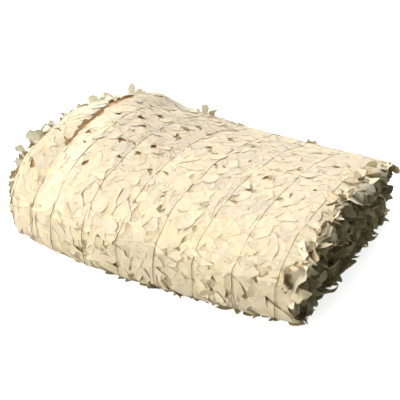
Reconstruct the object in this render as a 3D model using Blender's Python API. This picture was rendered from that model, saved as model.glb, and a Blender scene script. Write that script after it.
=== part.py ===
"""A camouflage net folded into a flat bundle: leaf-cut cloth with cords sewn along it.

The net lies doubled, is folded in half three times and rests on the floor. Its folds show in a
section across the bundle, which runs back and forth through eight levels. Metres, +Z up, the
bundle's length along X, its main fold at the front (-Y) and its loose ends at the back (+Y).
"""

import math
import random

import bmesh
import bpy
from mathutils import Vector, noise

# Driving sizes of the bundle.
LENGTH = 0.75  # from rim to rim, without the leaf tips
FRONT = -0.28  # the main fold's foremost line in the plain section
BACK = 0.29  # the rearmost fold in the plain section
HALF_HEIGHT = 0.110  # height of the gap between the upper and the lower half of the stack
LEVELS = 8

# The doubled net, leaves and all, as shares of HALF_HEIGHT.
LOFT = 0.17  # thickness of one level
PITCH = 0.255  # from one level to the next in the same half

# Shape of the section.
SQUARENESS = 5.0  # of the main fold's lower half, which sags to the floor; 2 is round
CROWN_DROP = 7.2  # share of the upper half's height lost, over the distance to the crest squared
LEFT_THINNING = 0.6  # share of the thickness left at the left end, where the net is doubled

# Sizes of the surface.
RELIEF = 0.003  # mean rise of the leaves between the cords
INNER_RELIEF = 0.0014  # unevenness of the levels that lie inside
WAVES = 23  # of either, to the metre
OPENING_RIM = 0.008  # from the edge of a cell to the opening in it
FLOOR_MARGIN = 0.001  # from the floor to the lowest leaf tip
NEAR = 0.0005  # two places along X closer than this are the same
SEED = 11

# Cords.
CORD_RADIUS = 0.0009
CORD_CLEARANCE = 0.0005  # from the net's surface to the cord's
CORD_GROOVE = 0.0031  # how far a cord sinks into the net's underside
GROOVE_HALF_WIDTH = 0.018

# How the bundle's outline varies along its length: its front, its back, the height of its top and
# where along Y the top is highest. The top dips at the crease by the left end.
OUTLINE_COLUMNS = ("x", "front", "back", "top", "crest")
OUTLINE_ROWS = (
    (-0.375, -0.240, 0.250, 0.204, -0.020),
    (-0.362, -0.256, 0.268, 0.228, -0.020),
    (-0.350, -0.266, 0.276, 0.240, -0.010),
    (-0.301, -0.278, 0.284, 0.249, 0.035),
    (-0.283, -0.270, 0.282, 0.228, 0.055),
    (-0.268, -0.284, 0.286, 0.248, 0.050),
    (-0.216, -0.294, 0.288, 0.247, 0.020),
    (-0.123, -0.302, 0.290, 0.231, 0.000),
    (-0.029, -0.304, 0.292, 0.216, -0.010),
    (0.065, -0.300, 0.292, 0.211, -0.010),
    (0.158, -0.294, 0.294, 0.205, -0.010),
    (0.251, -0.286, 0.296, 0.201, -0.005),
    (0.345, -0.272, 0.296, 0.198, 0.000),
    (0.375, -0.266, 0.294, 0.192, 0.000),
)

# The cords, from the left end to the right, and where each lies along X.
CORD_X = (-0.350, -0.283, -0.216, -0.123, -0.029, 0.065, 0.158, 0.251, 0.345)

# The largest gaps between the leaves on top, where the level beneath shows.
OPENING_COLUMNS = ("x", "y")
OPENING_ROWS = (
    (-0.165, -0.075),
    (-0.185, 0.040),
    (-0.160, 0.090),
    (-0.155, 0.010),
    (-0.080, 0.080),
    (-0.065, 0.120),
    (-0.070, 0.020),
    (-0.090, -0.050),
    (0.015, 0.030),
    (0.030, 0.110),
    (0.190, -0.090),
    (0.200, -0.020),
    (0.300, 0.130),
)

# The order in which the net passes through its levels, counted from the floor. It starts at the
# back, so the turns are at the front and at the back by turns.
LEVEL_ORDER = (1, 8, 5, 4, 3, 6, 7, 2)
TOP = 8
MAIN_FOLD = (1, 8)
UPPER_BACK_FOLD = (8, 5)
LOOSE_END = "loose end"

# Where each back turn or loose end lies along Y, by the two levels that it joins.
BACK_TURN_COLUMNS = ("levels", "y")
BACK_TURN_ROWS = (
    (UPPER_BACK_FOLD, 0.243),
    ((4, 3), 0.252),
    ((6, 7), 0.236),
    ((1,), 0.284),
    ((2,), 0.268),
)

# How finely each stretch of the section is stepped.
STEPS = {
    1: 7, TOP: 13, 5: 2, 4: 2, 3: 2, 6: 2, 7: 2, 2: 3,
    MAIN_FOLD: 10, (5, 4): 4, (3, 6): 5, (7, 2): 6,
    UPPER_BACK_FOLD: 6, (4, 3): 4, (6, 7): 4,
}

# Leaves that stand up from the surface, by stretch of the section.
BUMP_COLUMNS = ("stretch", "count", "height")
BUMP_ROWS = (
    (MAIN_FOLD, 46, 0.017),
    (TOP, 30, 0.007),
    (UPPER_BACK_FOLD, 10, 0.011),
    (LOOSE_END, 24, 0.014),
)
BUMP_LEAN = 0.009
SPREAD = 0.9  # how much further the leaves at the foot of the main fold stand out

# Leaves that stand out from the rims, by stretch of the section.
RIM_COLUMNS = ("stretch", "reach", "droop")
RIM_ROWS = (
    (TOP, 0.034, 0.009),
    (MAIN_FOLD, 0.030, 0.003),
    (UPPER_BACK_FOLD, 0.038, 0.0),
    (1, 0.030, 0.001),
)
INNER_REACH = 0.028
RIM_LEAN = 0.008  # along Y
RIM_TILT = 0.004  # up or down
RIM_RECESS = 0.008
RIM_LEAF_WIDTH = 0.060  # widest leaf along a rim
RIM_LEAF_MINIMUM = 0.0075  # narrower cells of a rim stay plain
SHORTEST = 0.42  # the shortest leaf, as a share of the longest

NET_COLOUR = (0.86, 0.76, 0.58, 1.0)
CORD_COLOUR = (0.20, 0.16, 0.11, 1.0)


def table(columns, rows):
    return [dict(zip(columns, row)) for row in rows]


def level_height(level):
    """Height of a level's middle above the middle gap."""
    upper = max(level, LEVELS + 1 - level)
    height = (1 - LOFT / 2 - (LEVELS - upper) * PITCH) * HALF_HEIGHT
    return height if level == upper else -height


def back_of(*levels):
    """Where along Y two levels join at the back, or where a single one ends."""
    turns = table(BACK_TURN_COLUMNS, BACK_TURN_ROWS)
    return next(row["y"] for row in turns if set(row["levels"]) == set(levels))


def turn(y, start, end, towards, steps):
    """Points between two levels on a bulge towards +1, the back, or -1, the front."""
    radius = abs(end - start) / 2
    middle = (start + end) / 2
    rise = math.copysign(1, end - start)
    for step in range(1, steps):
        angle = math.pi * (step / steps - 0.5)
        out, up = math.cos(angle), rise * math.sin(angle)
        power = SQUARENESS if towards < 0 and up < 0 else 2
        reach = radius / (out**power + abs(up) ** power) ** (1 / power)
        yield y + towards * reach * out, middle + reach * up


def section():
    """The net's middle line in the plain section: rows of a point and its stretch."""
    rows = []
    front_y = FRONT + HALF_HEIGHT
    for place, level in enumerate(LEVEL_ORDER):
        before = LEVEL_ORDER[place - 1] if place else None
        after = LEVEL_ORDER[place + 1] if place + 1 < LEVELS else None
        forwards = place % 2 == 0
        mate = before if forwards else after
        back_y = back_of(level, mate) if mate else back_of(level)
        start, end = (back_y, front_y) if forwards else (front_y, back_y)
        z = level_height(level)
        for step in range(STEPS[level] + 1):
            rows.append(((start + (end - start) * step / STEPS[level], z), level))
        if after is None:
            continue
        pair = (level, after)
        towards = -1.0 if forwards else 1.0
        for point in turn(end, z, level_height(after), towards, STEPS[pair]):
            rows.append((point, pair))
    return rows


def with_normals(rows):
    """Adds to each row the outward normal of the middle line there."""
    full = []
    for i, (point, stretch) in enumerate(rows):
        before = Vector(rows[max(i - 1, 0)][0])
        after = Vector(rows[min(i + 1, len(rows) - 1)][0])
        here = Vector(point)
        unit = [(b - a).normalized() for a, b in ((before, here), (here, after)) if b != a]
        along = sum(unit, Vector((0.0, 0.0))).normalized()
        full.append((point, (-along.y, along.x), stretch))
    return full


def outline_at(x):
    """The bundle's outline at x, between the rows of the table."""
    rows = table(OUTLINE_COLUMNS, OUTLINE_ROWS)
    after = next((i for i, row in enumerate(rows) if row["x"] >= x), len(rows) - 1)
    a, b = rows[max(after - 1, 0)], rows[max(after, 1)]
    share = min(max((x - a["x"]) / (b["x"] - a["x"]), 0.0), 1.0)
    return {name: a[name] + (b[name] - a[name]) * share for name in OUTLINE_COLUMNS}


def placed(x, y, z):
    """A point of the plain section, brought to the bundle's real outline at x."""
    outline = outline_at(x)
    share = (y - FRONT) / (BACK - FRONT)
    real_y = outline["front"] + share * (outline["back"] - outline["front"])
    if z <= 0:
        return Vector((x, real_y, HALF_HEIGHT + z))
    crowned = min(y, back_of(*UPPER_BACK_FOLD))
    crown = 1 - CROWN_DROP * (crowned - outline["crest"]) ** 2
    upper = (outline["top"] - HALF_HEIGHT) * crown
    return Vector((x, real_y, HALF_HEIGHT + z / HALF_HEIGHT * upper))


def stations():
    """Places along X: the ends, three for each cord's groove and one between two grooves."""
    places = [-LENGTH / 2]
    for x in CORD_X:
        groove = [x - GROOVE_HALF_WIDTH, x, x + GROOVE_HALF_WIDTH]
        if groove[0] - places[-1] > 2 * GROOVE_HALF_WIDTH:
            places.append((groove[0] + places[-1]) / 2)
        places += groove
    return places + [LENGTH / 2]


def uneven(x, y, z, layer):
    """A smooth, repeatable number from about -1 to 1, of another pattern for each layer."""
    return noise.noise(Vector((x, y, z)) * WAVES + Vector((LEVELS * layer, 0.0, layer)))


def surface_point(x, row, side):
    """A point on the net's outer (+1) or inner (-1) side."""
    (y, z), normal, stretch = row
    at_cord = min(abs(x - cord) for cord in CORD_X) < NEAR
    if side > 0 and stretch in (TOP, MAIN_FOLD, UPPER_BACK_FOLD):
        rise = 0.0 if at_cord else RELIEF * (1 + uneven(x, y, z, 1))
    elif side > 0 and stretch == 1:
        rise = 0.0
    else:
        rise = INNER_RELIEF * uneven(x, y, z, 2)
    half = LOFT / 2 * HALF_HEIGHT
    if x <= -LENGTH / 2:
        half *= LEFT_THINNING
    out = side * (half + rise)
    point = placed(x, y + normal[0] * out, z + normal[1] * out)
    point.z = max(point.z, CORD_GROOVE if at_cord else 0.0)
    return point


def clear_scene():
    for obj in list(bpy.data.objects):
        bpy.data.objects.remove(obj)


def new_collection(name):
    collection = bpy.data.collections.new(name)
    bpy.context.scene.collection.children.link(collection)
    return collection


def principled(name, colour, roughness):
    material = bpy.data.materials.new(name)
    material.use_nodes = True
    shader = material.node_tree.nodes["Principled BSDF"]
    shader.inputs["Base Color"].default_value = colour
    shader.inputs["Roughness"].default_value = roughness
    return material


def build_rings(bm, rows, places):
    """One ring of corners for each station, up the outer side and back down the inner one."""
    rings = []
    for x in places:
        ring = [surface_point(x, row, 1) for row in rows]
        ring += [surface_point(x, row, -1) for row in reversed(rows)]
        if abs(x) >= LENGTH / 2:
            for point in ring:
                recess = RIM_RECESS * (1 + uneven(*point, 3)) / 2
                point.x -= math.copysign(recess, x)
        rings.append([bm.verts.new(point) for point in ring])
    return rings


def build_sides(bm, rows, places, rings):
    """The net's two sides. Returns its outer cells between the grooves, each with its mate."""
    cells = []
    last = len(rows) - 1
    for here, there, x, next_x in zip(rings, rings[1:], places, places[1:]):
        count = len(here)
        faces = []
        for i in range(count):
            j = (i + 1) % count
            faces.append(bm.faces.new((here[i], here[j], there[j], there[i])))
        beside_cord = any(min(abs(x - cord), abs(next_x - cord)) < NEAR for cord in CORD_X)
        if beside_cord or next_x - x < GROOVE_HALF_WIDTH:
            continue
        for i in range(last):
            stretch = rows[i][2]
            if stretch == rows[i + 1][2]:
                cells.append((stretch, faces[i], faces[count - 2 - i]))
        cells += [(LOOSE_END, faces[last], None), (LOOSE_END, faces[count - 1], None)]
    return cells


def build_rims(bm, rows, rings):
    """The two rims, each a ladder of leaf-wide cells. Their faces keep their row, from 1 up."""
    layer = bm.faces.layers.int["row"]
    wide = {}
    for ring in (rings[0], rings[-1]):
        for i in range(len(rows) - 1):
            face = bm.faces.new((ring[i], ring[i + 1], ring[-2 - i], ring[-1 - i]))
            face[layer] = i + 1
            cuts = int(face.edges[0].calc_length() / RIM_LEAF_WIDTH)
            if cuts:
                wide.setdefault(cuts, []).extend((face.edges[0], face.edges[2]))
    for cuts, edges in wide.items():
        bmesh.ops.subdivide_edges(bm, edges=edges, cuts=cuts)


def pierce(bm, outer, inner):
    """Cuts an opening through the net, from one of its sides to the other."""
    bmesh.ops.inset_individual(bm, faces=[outer, inner], thickness=OPENING_RIM)
    edges = list(outer.edges) + list(inner.edges)
    bmesh.ops.delete(bm, geom=[outer, inner], context="FACES_ONLY")
    bmesh.ops.bridge_loops(bm, edges=edges)


def cut_openings(bm, cells):
    """Opens the cell nearest to each place in the table. Returns the cells left whole."""
    top_cells = [cell for cell in cells if cell[0] == TOP]
    for row in table(OPENING_COLUMNS, OPENING_ROWS):
        place = Vector((row["x"], row["y"]))
        nearest = min(top_cells, key=lambda c: (c[1].calc_center_median().xy - place).length)
        top_cells.remove(nearest)
        cells.remove(nearest)
        pierce(bm, nearest[1], nearest[2])
    return cells


def raise_leaves(bm, cells):
    """Draws single leaves up from the outer side, leaning along it."""
    chance = random.Random(SEED)
    for row in table(BUMP_COLUMNS, BUMP_ROWS):
        faces = [outer for stretch, outer, inner in cells if stretch == row["stretch"]]
        for face in chance.sample(faces, row["count"]):
            foot = max(0.0, 1 - face.calc_center_median().z / HALF_HEIGHT)
            height = row["height"] * (1 + SPREAD * foot) * chance.uniform(SHORTEST, 1)
            normal = face.normal.copy()
            along = (face.verts[1].co - face.verts[0].co).normalized()
            heading = chance.uniform(0, 2 * math.pi)
            apex = bmesh.ops.poke(bm, faces=[face])["verts"][0]
            apex.co += normal * height
            apex.co += along * BUMP_LEAN * math.sin(heading)
            apex.co += normal.cross(along) * BUMP_LEAN * math.cos(heading)
            apex.co.z = max(apex.co.z, FLOOR_MARGIN)


def draw_out_rims(bm, rows):
    """Draws the cells of the rims out into the tips of leaves."""
    chance = random.Random(SEED)
    layer = bm.faces.layers.int["row"]
    special = {row["stretch"]: row for row in table(RIM_COLUMNS, RIM_ROWS)}
    for face in [face for face in bm.faces if face[layer]]:
        if min(edge.calc_length() for edge in face.edges) < RIM_LEAF_MINIMUM:
            continue
        stretch = rows[face[layer] - 1][2]
        row = special.get(stretch, {"reach": INNER_REACH, "droop": 0.0})
        outward = math.copysign(1, face.calc_center_median().x)
        apex = bmesh.ops.poke(bm, faces=[face])["verts"][0]
        apex.co.x += outward * row["reach"] * chance.uniform(SHORTEST, 1)
        apex.co.y += RIM_LEAN * chance.uniform(-1, 1)
        apex.co.z += RIM_TILT * chance.uniform(-1, 1) - row["droop"]
        apex.co.z = max(apex.co.z, FLOOR_MARGIN)


def build_net(collection):
    rows = with_normals(section())
    places = stations()
    bm = bmesh.new()
    bm.faces.layers.int.new("row")
    rings = build_rings(bm, rows, places)
    cells = build_sides(bm, rows, places, rings)
    build_rims(bm, rows, rings)
    bmesh.ops.recalc_face_normals(bm, faces=bm.faces)
    raise_leaves(bm, cut_openings(bm, cells))
    draw_out_rims(bm, rows)
    mesh = bpy.data.meshes.new("garnish_net")
    bm.to_mesh(mesh)
    bm.free()
    mesh.materials.append(principled("net cloth", NET_COLOUR, 0.85))
    collection.objects.link(bpy.data.objects.new("garnish_net", mesh))


def cord_route(x):
    """The line of a cord's middle: along the net's outer side, a little clear of it.

    It starts at the loose end below and is followed over the top and through the middle gap.
    """
    rows = with_normals(section())
    end = max(i for i, row in enumerate(rows) if row[2] == UPPER_BACK_FOLD[1])
    used = rows[1 : end + 1]
    skin = [surface_point(x, row, 1) for row in used]
    route = []
    for i, point in enumerate(skin):
        # The corner between the stretches before and after this point.
        before = (point - skin[i - 1]).normalized() if i else None
        after = (skin[i + 1] - point).normalized() if i + 1 < len(skin) else None
        before, after = before or after, after or before
        middle = (before + after).normalized()
        outward = Vector((0.0, -middle.z, middle.y))
        # The steeper side of the groove here, which the cord's round has to clear.
        steepest = 0.0
        for side in (-GROOVE_HALF_WIDTH, GROOVE_HALF_WIDTH):
            beside = surface_point(x + side, used[i], 1)
            steepest = max(steepest, abs((beside - point).dot(outward) / side))
        clear = (CORD_RADIUS + CORD_CLEARANCE) * math.hypot(1.0, steepest)
        route.append(point + outward * clear / max(middle.dot(after), 0.5))
    return route


def build_cord(name, x, material, collection):
    curve = bpy.data.curves.new(name, "CURVE")
    curve.dimensions = "3D"
    curve.bevel_depth = CORD_RADIUS
    curve.bevel_resolution = 2
    curve.use_fill_caps = True
    curve.materials.append(material)
    route = cord_route(x)
    spline = curve.splines.new("POLY")
    spline.points.add(len(route) - 1)
    for target, point in zip(spline.points, route):
        target.co = (*point, 1.0)
    collection.objects.link(bpy.data.objects.new(name, curve))


def main():
    clear_scene()
    collection = new_collection("camouflage_netting")
    build_net(collection)
    material = principled("sewn cord", CORD_COLOUR, 0.8)
    for number, x in enumerate(CORD_X, 1):
        build_cord(f"sewn_cord_{number}", x, material, collection)


main()
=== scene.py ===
"""The looks of a folded camouflage net: thin cloth, cut leaves and sewn cords.

The net is one sheet, doubled and folded in half three times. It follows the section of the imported
solid, and its leaves lie on the outer side like scales, hang from the rims and stand out from the
folds. Metres, +Z up, the bundle's length along X, its main fold at the front (-Y).
"""

import math

import bmesh
import bpy
import numpy as np
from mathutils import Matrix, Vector


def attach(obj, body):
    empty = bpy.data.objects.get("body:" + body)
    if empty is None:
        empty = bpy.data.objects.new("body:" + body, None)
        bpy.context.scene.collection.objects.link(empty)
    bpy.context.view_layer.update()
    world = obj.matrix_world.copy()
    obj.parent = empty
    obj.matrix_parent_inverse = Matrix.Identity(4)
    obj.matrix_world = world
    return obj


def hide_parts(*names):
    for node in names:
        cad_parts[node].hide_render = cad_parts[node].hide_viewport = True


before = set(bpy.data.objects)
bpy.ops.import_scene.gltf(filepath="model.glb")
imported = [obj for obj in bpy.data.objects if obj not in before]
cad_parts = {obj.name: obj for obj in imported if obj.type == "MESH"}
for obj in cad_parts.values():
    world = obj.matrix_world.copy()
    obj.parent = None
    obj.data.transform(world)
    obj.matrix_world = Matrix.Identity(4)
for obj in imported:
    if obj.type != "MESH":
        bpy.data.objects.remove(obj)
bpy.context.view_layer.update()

# ---- sizes shared with the solid

HALF_LENGTH = 0.375  # of the bundle along X
FRONT = -0.28  # of the plain section, before it is brought to the outline
BACK = 0.29
HALF_HEIGHT = 0.110
LEVELS = 8
LOFT = 0.17  # thickness of a level, to the half height
PITCH = 0.255  # from one level to the next, to the half height
SQUARENESS = 5.0  # of the main fold's lower half, where 2 is round
CROWN_DROP = 7.2  # how fast the top falls off to the front and back of its crest
DENT = 0.085  # share of the crown that is missing at a dent in the back edge, which the solid lacks
DENT_PLACE = (-0.198, 0.22)
DENT_REACH = (0.045, 0.09)

# The bundle's outline along X: its front, back and top, and where along Y its crest is.
OUTLINE_COLUMNS = ("x", "front", "back", "top", "crest")
OUTLINE_ROWS = (
    (-0.375, -0.240, 0.250, 0.204, -0.020),
    (-0.362, -0.256, 0.268, 0.228, -0.020),
    (-0.350, -0.266, 0.276, 0.240, -0.010),
    (-0.301, -0.278, 0.284, 0.249, 0.035),
    (-0.283, -0.270, 0.282, 0.228, 0.055),
    (-0.268, -0.284, 0.286, 0.248, 0.050),
    (-0.216, -0.294, 0.288, 0.247, 0.020),
    (-0.123, -0.302, 0.290, 0.231, 0.000),
    (-0.029, -0.304, 0.292, 0.216, -0.010),
    (0.065, -0.300, 0.292, 0.211, -0.010),
    (0.158, -0.294, 0.294, 0.205, -0.010),
    (0.251, -0.286, 0.296, 0.201, -0.005),
    (0.345, -0.272, 0.296, 0.198, 0.000),
    (0.375, -0.266, 0.294, 0.192, 0.000),
)
CREASE_X = -0.283


def by_column(names, rows):
    return dict(zip(names, np.array(rows, dtype=float).T))


OUTLINE = by_column(OUTLINE_COLUMNS, OUTLINE_ROWS)
# The leaves bridge the crease.
LEAF_OUTLINE = by_column(OUTLINE_COLUMNS, [row for row in OUTLINE_ROWS if row[0] != CREASE_X])
CREASE_FILL = 0.45  # share of the crease's depth that its own slack cloth fills


def net_outline():
    """The net's outline, between the solid's and the leaves'."""
    outline = dict(OUTLINE)
    for name in OUTLINE_COLUMNS[1:]:
        filled = np.interp(OUTLINE["x"], LEAF_OUTLINE["x"], LEAF_OUTLINE[name])
        outline[name] = OUTLINE[name] + CREASE_FILL * (filled - OUTLINE[name])
    return outline


NET_OUTLINE = net_outline()

CORD_X = (-0.350, -0.283, -0.216, -0.123, -0.029, 0.065, 0.158, 0.251, 0.345)

LEVEL_ORDER = (1, 8, 5, 4, 3, 6, 7, 2)  # counted from the floor, along the net
TOP = 8
MAIN_FOLD = (1, 8)
UPPER_BACK_FOLD = (8, 5)
BACK_TURNS = {(8, 5): 0.243, (4, 3): 0.252, (6, 7): 0.236, (1,): 0.284, (2,): 0.268}

# The largest gaps between the leaves on top, as x and y.
OPENINGS = (
    (-0.165, -0.075),
    (-0.185, 0.040),
    (-0.160, 0.090),
    (-0.155, 0.010),
    (-0.080, 0.080),
    (-0.065, 0.120),
    (-0.070, 0.020),
    (-0.090, -0.050),
    (0.015, 0.030),
    (0.030, 0.110),
    (0.190, -0.090),
    (0.200, -0.020),
    (0.300, 0.130),
)

# ---- sizes of the cloth

PLY_OFFSET = 0.0055  # from a level's middle to either of its two plies
CLOTH = 0.0009  # thickness of the net itself
LEAF_CLOTH = 0.0005
FLOOR_MARGIN = 0.0006
LINE_STEP = 0.003  # between samples of the section line
LEAST_TURN_STEPS = 10
RIM_DROOP = 20.0  # how fast what reaches past a rim sinks towards the bundle's inside

RNG = np.random.default_rng(11)

# ---- the section


def level_height(level):
    """Height of a level's middle above the middle gap."""
    upper = max(level, LEVELS + 1 - level)
    height = (1 - LOFT / 2 - (LEVELS - upper) * PITCH) * HALF_HEIGHT
    return height if level == upper else -height


def back_of(*levels):
    """Where along Y two levels join at the back, or where a single one ends."""
    return next(y for key, y in BACK_TURNS.items() if set(key) == set(levels))


def turn(y, start, end, towards, steps):
    """Points between two levels on a bulge towards +1, the back, or -1, the front."""
    radius = abs(end - start) / 2
    middle = (start + end) / 2
    rise = math.copysign(1, end - start)
    for step in range(1, steps):
        angle = math.pi * (step / steps - 0.5)
        out, up = math.cos(angle), rise * math.sin(angle)
        power = SQUARENESS if towards < 0 and up < 0 else 2
        reach = radius / (out**power + abs(up) ** power) ** (1 / power)
        yield y + towards * reach * out, middle + reach * up


def section_line():
    """The net's middle line: its length so far, place, outward normal and each stretch's span."""
    points = []
    spans = {}
    front_y = FRONT + HALF_HEIGHT
    for place, level in enumerate(LEVEL_ORDER):
        before = LEVEL_ORDER[place - 1] if place else None
        after = LEVEL_ORDER[place + 1] if place + 1 < LEVELS else None
        forwards = place % 2 == 0
        mate = before if forwards else after
        back_y = back_of(level, mate) if mate else back_of(level)
        start, end = (back_y, front_y) if forwards else (front_y, back_y)
        z = level_height(level)
        steps = max(2, round(abs(end - start) / LINE_STEP))
        first = len(points)
        points += [(start + (end - start) * step / steps, z) for step in range(steps + 1)]
        spans[level] = (first, len(points) - 1)
        if after is None:
            continue
        high = abs(level_height(after) - z)
        steps = max(LEAST_TURN_STEPS, round(2 * high / LINE_STEP))
        points += turn(end, z, level_height(after), -1.0 if forwards else 1.0, steps)
        spans[(level, after)] = (spans[level][1], len(points))
    line = np.array(points)
    gaps = np.linalg.norm(np.diff(line, axis=0), axis=1)
    length = np.concatenate(([0.0], np.cumsum(gaps)))
    along = np.gradient(line, length, axis=0)
    along /= np.linalg.norm(along, axis=1, keepdims=True)
    normal = np.column_stack((-along[:, 1], along[:, 0]))
    return length, line, normal, {key: (length[a], length[b]) for key, (a, b) in spans.items()}


LENGTHS, LINE, NORMALS, SPANS = section_line()


def place_on(stretch, share):
    """The place in s at a share of a stretch."""
    start, end = SPANS[stretch]
    return start + (end - start) * share


def share_on(stretch, s):
    start, end = SPANS[stretch]
    return (s - start) / (end - start)


def placed(x, y, z, outline):
    """Points of the plain section, brought to the bundle's real outline at x."""
    at = {name: np.interp(x, outline["x"], outline[name]) for name in OUTLINE_COLUMNS[1:]}
    share = (y - FRONT) / (BACK - FRONT)
    real_y = at["front"] + share * (at["back"] - at["front"])
    crowned = np.minimum(y, back_of(*UPPER_BACK_FOLD))
    off_x, off_y = (x - DENT_PLACE[0]) / DENT_REACH[0], (y - DENT_PLACE[1]) / DENT_REACH[1]
    crown = 1 - CROWN_DROP * (crowned - at["crest"]) ** 2
    crown -= DENT * np.exp(-(off_x**2) - off_y**2)
    upper = HALF_HEIGHT + z / HALF_HEIGHT * (at["top"] - HALF_HEIGHT) * crown
    return np.stack((x, real_y, np.where(z <= 0, HALF_HEIGHT + z, upper)), axis=-1)


def net_point(s, x, height, outline=OUTLINE):
    """Points at a height off the net's middle, s along its section and x along the bundle."""
    y, z, normal_y, normal_z = (np.interp(s, LENGTHS, values) for values in (*LINE.T, *NORMALS.T))
    past = np.maximum(np.abs(x) - HALF_LENGTH, 0.0)
    height = height - np.sign(height) * RIM_DROOP * past**2
    points = placed(x, y + normal_y * height, z + normal_z * height, outline)
    points[..., 2] = np.maximum(points[..., 2], FLOOR_MARGIN)
    return points


# ---- the net


def link(name, mesh, material):
    piece = bpy.data.objects.new(name, mesh)
    bpy.context.scene.collection.objects.link(piece)
    mesh.materials.append(material)
    return piece


def mesh_from_arrays(name, points, quads):
    """A smooth mesh of quads, from an array of points and one of corner numbers."""
    mesh = bpy.data.meshes.new(name)
    mesh.from_pydata(points.reshape(-1, 3), [], quads.reshape(-1, 4).tolist(), shade_flat=False)
    mesh.validate()
    return mesh


def grid_quads(rows, columns):
    """Corner numbers of a grid of points, row by row."""
    corner = (np.arange(rows - 1)[:, None] * columns + np.arange(columns - 1)).ravel()
    return np.column_stack((corner, corner + 1, corner + columns + 1, corner + columns))


NET_COLUMN = 0.016  # between the net's points along X
NET_ROW = 0.018  # between its points along the section, on the levels
NET_FOLD_ROW = 0.007  # and round the folds
END_FOLD_STEPS = 6  # round the fold at the left end
OPENING_SIZE = 0.004  # of the openings in the net, from their middle


def net_rows():
    rows = []
    for stretch, (start, end) in sorted(SPANS.items(), key=lambda item: item[1]):
        step = NET_ROW if isinstance(stretch, int) or stretch == MAIN_FOLD else NET_FOLD_ROW
        count = max(2, round((end - start) / step))
        rows += [start + (end - start) * i / count for i in range(count)]
    return np.array(rows + [LENGTHS[-1]])


def net_columns():
    """Across the doubled net: along its outer ply, round the fold at the left end and back."""
    count = round(2 * HALF_LENGTH / NET_COLUMN)
    flat = HALF_LENGTH - (2 * HALF_LENGTH - PLY_OFFSET) * np.arange(count + 1) / count
    angles = np.pi * np.arange(1, END_FOLD_STEPS) / END_FOLD_STEPS
    arc_x = PLY_OFFSET - HALF_LENGTH - PLY_OFFSET * np.sin(angles)
    arc_height = PLY_OFFSET * np.cos(angles)
    x = np.concatenate((flat, arc_x, flat[::-1]))
    height = np.concatenate((np.full(flat.size, PLY_OFFSET), arc_height, np.full(flat.size, -PLY_OFFSET)))
    return x, height


def build_net(material):
    rows = net_rows()
    x, height = net_columns()
    s = np.repeat(rows[:, None], x.size, axis=1)
    points = net_point(s, np.broadcast_to(x, s.shape), np.broadcast_to(height, s.shape), NET_OUTLINE)
    quads = grid_quads(len(rows), x.size)
    centres = points.reshape(-1, 3)[quads].mean(axis=1)
    s_centres = s.ravel()[quads].mean(axis=1)
    on_top = (s_centres > SPANS[TOP][0]) & (s_centres < SPANS[TOP][1])
    on_top &= height[quads[:, 0] % x.size] > 0
    open_here = np.zeros(len(quads), dtype=bool)
    for place in OPENINGS:
        open_here |= on_top & (np.linalg.norm(centres[:, :2] - np.array(place), axis=1) < OPENING_SIZE)
    net = link("net_cloth", mesh_from_arrays("net_cloth", points, quads[~open_here]), material)
    solid = net.modifiers.new("thickness", "SOLIDIFY")
    solid.thickness = CLOTH
    solid.offset = 0.0
    depsgraph = bpy.context.evaluated_depsgraph_get()
    mesh = bpy.data.meshes.new_from_object(net.evaluated_get(depsgraph))
    net.modifiers.clear()
    net.data = mesh
    mesh.name = net.name
    return net


# ---- leaves

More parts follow.
